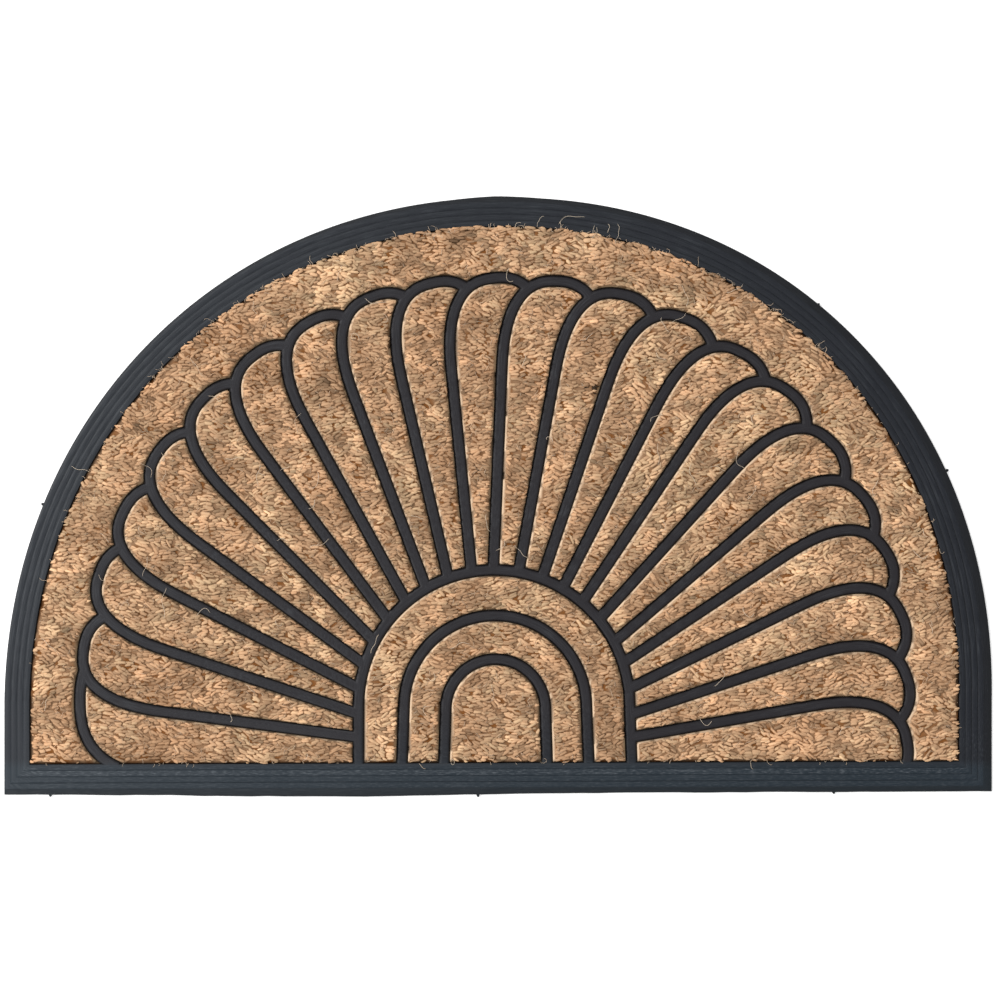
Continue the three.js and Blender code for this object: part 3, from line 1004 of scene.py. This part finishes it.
def lobe_tubes(middle, slant, settings, rng):
    """Closed tubes for the lobes: rings as (lobes, stations, sides, 3) and tips as (lobes, 2, 3)."""
    count = len(middle)
    half_length = settings.lobe_length / MM / 2 * rng.uniform(0.7, 1.35, count)
    half_width = settings.lobe_width / MM / 2 * rng.uniform(0.75, 1.3, count)
    rise = settings.lobe_rise / MM * rng.uniform(0.75, 1.25, count)
    lie = rng.normal(0, 0.36, count)
    tilt = rng.normal(0.12, 0.38, count)
    bow = rng.normal(0, 0.45, count)
    ahead = np.stack([np.cos(slant), np.sin(slant)], axis=1)
    side = np.stack([-ahead[:, 1], ahead[:, 0]], axis=1)

    def point(share, across, up):
        """A point of every lobe, by shares of its half length, its half width and its rise."""
        beside = (across + bow * (share**2 - 0.3)) * half_width
        plan = middle + ahead * (share * half_length)[:, None] + side * beside[:, None]
        plan = keep_on_pad(plan, middle)
        height = np.maximum(pad_height(plan) - crease_depth(plan), LOBE_LOWEST)
        height += lie + tilt * share + rise * up
        return np.column_stack([plan, height])

    rings = [np.stack([point(share, *corner) for corner in LOBE_SECTION], axis=1) for share in LOBE_STATIONS]
    tips = [point(share, 0.0, 0.1) for share in (-1.0, 1.0)]
    return np.stack(rings, axis=1), np.stack(tips, axis=1)


def facing_lit_side(field, points):
    """From 0 to 1, how far the nearest edge faces the smooth side, which faces the key light."""
    return np.clip(-slope(field, points) @ LIT_SIDE, 0, 1)


def lit_from_left(points):
    """From 0 to 1, how far the nearest wall faces the left, towards the key light, as a column."""
    return np.clip(slope(wall_field(), points)[..., :1] * 1.4 - 0.1, 0, 1)


def edge_limits(points):
    """How near a rib's middle and the wall the lobes come: raggedly, and less at the smooth edges."""
    ragged = smooth_noise(points, 3.6, 61)
    smooth = facing_lit_side(rib_field(), points)
    at_rib = RIB_LIMIT + (1.3 - 0.8 * smooth) * ragged + SMOOTH_WIDTH * smooth
    top = np.clip((points[..., 1] - 60) / 100, 0, 1)
    low_left = np.clip((-points[..., 0] - 200) / 100, 0, 1) * np.clip((20 - points[..., 1]) / 80, 0, 1)
    at_wall = WALL_LIMIT - TOP_OVERHANG * top + LEFT_RECESS * low_left + 2.2 * ragged
    return np.maximum(at_rib, 4.45), np.maximum(at_wall, -0.4 - top)


def keep_on_pad(points, middle):
    """Draws points towards their middle until they lie on its pad."""
    away = points - middle
    for _ in range(6):
        here = middle + away
        at_rib, at_wall = edge_limits(here)
        out = (sample(rib_field(), here) < at_rib) | (sample(wall_field(), here) < at_wall)
        away = np.where(out[..., None], 0.72 * away, away)
    return middle + away


PLY_PIECES = [
    "coir_plies_arches",
    "coir_plies_fan_left",
    "coir_plies_fan_right",
    "coir_plies_field_left",
    "coir_plies_field_right",
]


def region_of(places):
    """The number of the piece in PLY_PIECES that each plan point belongs to."""
    arch = ARCHES[-1]
    x, y = places[:, 0] - arch["x"], places[:, 1] - arch["y"]
    in_arch = (np.abs(x) < arch["radius"]) & (y < 0) | (np.hypot(x, y) < arch["radius"])
    right = places[:, 0] > ARCH_FOOT_X
    return np.where(in_arch, 0, np.where(inside_arc(ENVELOPE, places), 1, 3) + right)


# A smear of rubber over the coir
SMEARS = [
    {"x": 71.5, "y": 83.0, "along": 6.0, "across": 2.1, "turn": 5.0},
    {"x": 76.0, "y": 85.0, "along": 3.8, "across": 1.9, "turn": 35.0},
    {"x": 73.0, "y": 78.0, "along": 2.6, "across": 1.3, "turn": 0.0},
]


def smeared(points):
    """Whether each plan point lies in a smear."""
    found = np.zeros(len(points), bool)
    for row in SMEARS:
        turn = math.radians(row["turn"])
        x, y = points[:, 0] - row["x"], points[:, 1] - row["y"]
        along = x * math.cos(turn) + y * math.sin(turn)
        across = y * math.cos(turn) - x * math.sin(turn)
        found |= (along / row["along"]) ** 2 + (across / row["across"]) ** 2 < 1
    return found


def coir_plies(settings):
    """The lobes of the woven yarn as they show on the pads."""
    rng = np.random.default_rng(settings.seed)
    middle, slant = yarn_lobes(rng)
    rings, tips = lobe_tubes(middle, slant, settings, rng)
    tints = coir_tints(middle, settings, rng)
    tints *= np.where(rng.random(len(middle)) < 0.05, 0.68, 1)[:, None]
    # Painted highlight: the coir is paler by the wall that faces the key light on the left
    near_wall = np.clip(1 - sample(wall_field(), middle) / 6, 0, 1)[:, None]
    tints *= 1 + BRIM_HIGHLIGHT * near_wall * lit_from_left(middle)
    tints *= np.where(smeared(middle), 0.08, 1)[:, None]
    husk_and_shade = np.array(settings.husk_and_shade[:3])
    region = region_of(middle)
    share = np.array(LOBE_PAINTED_SHADE)[:, None]
    pieces = []
    for number, name in enumerate(PLY_PIECES):
        here = region == number
        points, corners, _ = closed_tubes(rings[here], tips[here])
        mesh = mesh_of(name, points, corners)
        tint = tints[here][:, None]
        # Painted shade: the lobes' low sides and tips take on the dark husk colour
        colour = tint * (1 - share) + np.minimum(husk_and_shade, tint) * share
        colour = np.concatenate([colour, np.ones((*colour.shape[:2], 1))], axis=2)
        paint(mesh, "tint", colour.reshape(-1, 4))
        pieces.append(new_object(name, mesh))
    return pieces


FIBRE_STATIONS = 4
BRIM_STATIONS = 8
STRAY_STATIONS = 14


def hair_tubes(lines, thickness):
    """Three-sided tapering tubes along lines of equally many points, given as (hairs, points, 3)."""
    ahead = np.gradient(lines, axis=1)
    ahead /= np.maximum(np.linalg.norm(ahead, axis=2, keepdims=True), 1e-9)
    side = np.stack([-ahead[..., 1], ahead[..., 0], np.zeros(ahead.shape[:2])], axis=2)
    side /= np.maximum(np.linalg.norm(side, axis=2, keepdims=True), 1e-9)
    up = np.cross(ahead, side)
    inner = lines[:, 1:-1]
    rings = []
    for angle in np.radians([90, 210, 330]):
        offset = side[:, 1:-1] * math.cos(angle) + up[:, 1:-1] * math.sin(angle)
        rings.append(inner + offset * (thickness / 2)[:, None, None])
    return np.stack(rings, axis=2), lines[:, [0, -1]]


def laid_fibres(starts, heading, lengths, lift, bend, points_each):
    """Lines that wander over the mat from their starts and rest on whatever is below."""
    count = len(starts)
    share = np.linspace(0, 1, points_each)
    angle = heading[:, None] + bend[:, None] * (share[None] - 0.5)
    angle += 0.3 * np.sin(9 * share[None] + 3 * heading[:, None] + lengths[:, None])
    step = (lengths / (points_each - 1))[:, None, None] * np.stack([np.cos(angle), np.sin(angle)], axis=2)
    gone = np.concatenate([np.zeros((count, 1, 2)), np.cumsum(step[:, 1:], axis=1)], axis=1)
    plan = starts[:, None] + gone
    height = cover_height(plan) + lift[:, None] * np.sin(math.pi * (0.08 + 0.84 * share))[None]
    return np.concatenate([plan, height[..., None]], axis=2)


def fibre_piece(name, lines, thickness, colours):
    rings, tips = hair_tubes(lines, thickness)
    points, corners, per_tube = closed_tubes(rings, tips)
    mesh = mesh_of(name, points, corners)
    painted = np.repeat(colours, per_tube, axis=0)
    paint(mesh, "tint", np.column_stack([painted, np.ones(len(painted))]))
    return new_object(name, mesh)


def pad_points(count, rng):
    """Random plan points on the coir pads."""
    found = np.zeros((0, 2))
    while len(found) < count:
        tried = rng.uniform(COIR_LOW[:2], COIR_HIGH[:2], (count, 2))
        away, inset = sample(rib_field(), tried), sample(wall_field(), tried)
        kept = (away > RIB_LIMIT + 0.6) & (inset > WALL_LIMIT + 0.5)
        found = np.concatenate([found, tried[kept]])
    return found[:count]


def coir_fuzz(settings, coir):
    """Short fibres that lie on the pads."""
    rng = np.random.default_rng(settings.seed)
    starts = pad_points(settings.fuzz_count, rng)
    count = len(starts)
    heading = rng.normal(0.35, 0.8, count) + np.where(rng.random(count) < 0.5, 0, math.pi)
    lengths = rng.uniform(3.0, 9.0, count)
    lift = rng.uniform(0.75, 1.15, count)
    lines = laid_fibres(starts, heading, lengths, lift, rng.normal(0, 0.9, count), FIBRE_STATIONS)
    lines[..., :2] = keep_on_pad(lines[..., :2], starts[:, None])
    lines[..., 2] = pad_height(lines[..., :2]) + lift[:, None] * [0.3, 1, 1, 0.3]
    thickness = settings.thickness / MM * rng.uniform(0.8, 1.6, count)
    colours = coir_tints(starts, coir, rng, 0.16)
    colours = 0.6 * colours + 0.4 * np.array(settings.pale[:3])
    return fibre_piece("coir_fuzz", lines, thickness, colours)


def brim_starts(count, rng):
    """Plan points over the coir's rim, most of them at the top, and the headings that lead outward."""
    tried = rng.uniform(COIR_LOW[:2], COIR_HIGH[:2], (count * 60, 2))
    inset = sample(wall_field(), tried)
    share = np.clip((tried[:, 1] - 40) / 110, 0.12, 1)
    kept = (np.abs(inset - 0.8) < 1.2) & (sample(rib_field(), tried) > RIB_LIMIT)
    tried = tried[kept & (rng.random(len(tried)) < share)][:count]
    out = -slope(wall_field(), tried)
    return tried, np.arctan2(out[:, 1], out[:, 0])


def brim_fibres(settings, coir):
    """Fibres that stand out over the border: mostly short, with a few long curls."""
    rng = np.random.default_rng(settings.seed + 1)
    starts, heading = brim_starts(settings.brim_count, rng)
    count = len(starts)
    curl = rng.random(count) < 0.12
    heading = heading + rng.normal(0, 1.15, count)
    lengths = np.where(curl, rng.uniform(5, 10, count), rng.uniform(1.6, 4.4, count))
    bend = rng.normal(0, 1, count) * np.where(curl, 2.8, 2.0)
    lines = laid_fibres(starts, heading, lengths, rng.uniform(0.3, 1.0, count), bend, BRIM_STATIONS)
    thickness = settings.thickness / MM * rng.uniform(0.6, 1.1, count)
    colours = 0.35 * coir_tints(starts, coir, rng, 0.16) + 0.65 * np.array(settings.pale[:3])
    return fibre_piece("coir_brim_fibres", lines, thickness, colours)


# Long stray hairs that show in the reference, each by its start, its heading and its length
STRAYS = [
    {"x": 30.3, "y": 204.9, "heading": 62.0, "length": 11.0, "bend": -110.0},
    {"x": 45.5, "y": 206.4, "heading": 15.0, "length": 24.0, "bend": -75.0},
    {"x": 70.5, "y": 195.0, "heading": 80.0, "length": 12.0, "bend": 20.0},
    {"x": 72.0, "y": 196.0, "heading": 68.0, "length": 10.0, "bend": 50.0},
    {"x": 90.3, "y": 207.1, "heading": -90.0, "length": 12.0, "bend": -75.0},
    {"x": 12.9, "y": 203.4, "heading": 50.0, "length": 8.0, "bend": -110.0},
    {"x": 82.7, "y": 200.3, "heading": 80.0, "length": 8.0, "bend": 90.0},
    {"x": -251.3, "y": -68.0, "heading": 268.0, "length": 26.0, "bend": 30.0},
    {"x": -302.9, "y": -58.5, "heading": -40.0, "length": 9.0, "bend": 120.0},
    {"x": -206.5, "y": -163.5, "heading": -60.0, "length": 11.0, "bend": -150.0},
    {"x": -324.2, "y": 23.5, "heading": -14.0, "length": 16.0, "bend": 12.0},
    {"x": -90.0, "y": -104.0, "heading": 246.0, "length": 17.0, "bend": 25.0},
]


def stray_hairs(settings):
    """Long pale hairs: the ones in the table, and others strewn over the mat."""
    rng = np.random.default_rng(settings.seed + 2)
    strewn = pad_points(settings.stray_count, rng)
    count = len(strewn) + len(STRAYS)
    starts = np.concatenate([np.array([[row["x"], row["y"]] for row in STRAYS]), strewn])
    heading = rng.uniform(-math.pi, math.pi, count)
    bend = rng.normal(0, 2.2, count)
    lengths = rng.uniform(8, 20, count)
    for i, row in enumerate(STRAYS):
        heading[i], bend[i] = math.radians(row["heading"]), math.radians(row["bend"])
        lengths[i] = row["length"]
    lines = laid_fibres(starts, heading, lengths, rng.uniform(0.7, 1.1, count), bend, STRAY_STATIONS)
    thickness = settings.thickness / MM * rng.uniform(0.7, 1.0, count)
    colours = np.tile(np.array(settings.pale[:3]), (count, 1))
    return fibre_piece("coir_stray_hairs", lines, thickness, colours)


# The floor lies this many millimetres under the mat, so that the two faces aren't in one plane
FLOOR_Z = -0.1
# In metres: the key light and the soft box are to the left, and the eye looks straight down
KEY = {"from": (-1.0, 0.45, 1.0), "angle": 34}
GLOSS_BOX = {"place": (-0.9, -0.7, 1.3), "size": 0.8}
EYE = {"x": 0.00148, "y": -0.00236, "level": 0.004}


# Operators


class DOORMAT_OT_rubber(Operator):
    """Make the rubber moulding with its ridged border and its ribs"""

    bl_idname = "doormat.rubber"
    bl_label = "Rubber moulding"

    def execute(self, context):
        settings = context.scene.doormat_rubber
        piece = rubber_moulding(settings)
        if len(piece.data.polygons) < 5000:
            raise RuntimeError("the tray and its ribs didn't join")
        piece.data.materials.clear()
        piece.data.materials.append(rubber_material(settings))
        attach(piece, "root")
        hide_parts("rubber_moulding")
        return {"FINISHED"}


class DOORMAT_OT_coir(Operator):
    """Make the pressed coir matting and the plies of its yarn"""

    bl_idname = "doormat.coir"
    bl_label = "Coir matting"

    def execute(self, context):
        settings = context.scene.doormat_coir
        bed = coir_bed(settings)
        paint_bed(bed.data, settings)
        bed.data.materials.append(coir_material("coir_bed_with_painted_light"))
        yarn = coir_material("coir_yarn")
        plies = coir_plies(settings)
        for piece in plies:
            piece.data.materials.append(yarn)
        for piece in [bed, *plies]:
            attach(piece, "root")
            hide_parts("coir_matting")
        return {"FINISHED"}


class DOORMAT_OT_fibres(Operator):
    """Make the loose fibres on the coir"""

    bl_idname = "doormat.fibres"
    bl_label = "Loose fibres"

    def execute(self, context):
        settings, coir = context.scene.doormat_fibres, context.scene.doormat_coir
        bed = bpy.data.objects.get("pressed_coir_bed")
        if bed is None:
            raise RuntimeError("make the coir matting before its fibres")
        fibre = coir_material("coir_fibre", 0.6)
        pieces = [coir_fuzz(settings, coir), brim_fibres(settings, coir), stray_hairs(settings)]
        for piece in pieces:
            piece.data.materials.append(fibre)
            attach(piece, "root")
        float((wall_field() > GAP).sum() * (FIELD_STEP * MM) ** 2)
        return {"FINISHED"}


class DOORMAT_OT_stage(Operator):
    """Make the floor, the lights and the camera"""

    bl_idname = "doormat.stage"
    bl_label = "Stage"

    def execute(self, context):
        settings = context.scene.doormat_stage
        scene = context.scene
        half = settings.floor_size / 2 / MM
        corners = [[x * half, y * half, FLOOR_Z] for x, y in ((-1, -1), (1, -1), (1, 1), (-1, 1))]
        floor = new_object("floor", mesh_of("floor", np.array(corners), np.array([[0, 1, 2, 3]])))
        material, _, shader = new_material("pale_floor")
        shader.inputs["Base Color"].default_value = tone(245, 245, 245)
        shader.inputs["Emission Color"].default_value = tone(255, 255, 255)
        shader.inputs["Emission Strength"].default_value = settings.floor_glow
        shader.inputs["Roughness"].default_value = 0.9
        shader.inputs["Specular IOR Level"].default_value = 0.0
        floor.data.materials.append(material)

        world = bpy.data.worlds.new("studio")
        world.use_nodes = True
        world.node_tree.nodes["Background"].inputs["Color"].default_value = (1.0, 1.0, 1.0, 1.0)
        world.node_tree.nodes["Background"].inputs["Strength"].default_value = settings.sky_strength
        scene.world = world

        key = bpy.data.lights.new("key", "SUN")
        key.energy = settings.key_strength
        key.angle = math.radians(KEY["angle"])
        lamp = new_object("key", key)
        lamp.rotation_mode = "QUATERNION"
        lamp.rotation_quaternion = Vector(KEY["from"]).to_track_quat("Z", "Y")

        gloss = bpy.data.lights.new("gloss", "AREA")
        gloss.energy = settings.gloss_power
        gloss.size = GLOSS_BOX["size"]
        box = new_object("gloss", gloss)
        box.location = GLOSS_BOX["place"]
        box.rotation_mode = "QUATERNION"
        box.rotation_quaternion = box.location.to_track_quat("Z", "Y")

        camera = bpy.data.cameras.new("camera")
        camera.lens = settings.focal_length
        camera.sensor_width = 36.0
        eye = new_object("camera", camera)
        distance = settings.view_width * camera.lens / camera.sensor_width
        eye.location = (EYE["x"], EYE["y"], EYE["level"] + distance)
        camera.clip_end = 50
        scene.camera = eye
        scene.view_settings.view_transform = "Standard"
        return {"FINISHED"}


class DOORMAT_PT_build(Panel):
    """The doormat's makers, in the sidebar"""

    bl_label = "Doormat"
    bl_idname = "DOORMAT_PT_build"
    bl_space_type = "VIEW_3D"
    bl_region_type = "UI"
    bl_category = "Doormat"

    def draw(self, context):
        for operator in OPERATORS:
            self.layout.operator(operator.bl_idname)


SETTINGS = {
    "doormat_rubber": RubberSettings,
    "doormat_coir": CoirSettings,
    "doormat_fibres": FibreSettings,
    "doormat_stage": StageSettings,
}
OPERATORS = [DOORMAT_OT_rubber, DOORMAT_OT_coir, DOORMAT_OT_fibres, DOORMAT_OT_stage]


def register():
    for kind in [*SETTINGS.values(), *OPERATORS, DOORMAT_PT_build]:
        bpy.utils.register_class(kind)
    for name, kind in SETTINGS.items():
        setattr(bpy.types.Scene, name, PointerProperty(type=kind))


def unregister():
    for name in SETTINGS:
        delattr(bpy.types.Scene, name)
    for kind in reversed([*SETTINGS.values(), *OPERATORS, DOORMAT_PT_build]):
        bpy.utils.unregister_class(kind)


def main():
    register()
    bpy.ops.doormat.rubber()
    bpy.ops.doormat.coir()
    bpy.ops.doormat.fibres()
    bpy.ops.doormat.stage()


if __name__ == "__main__":
    main()
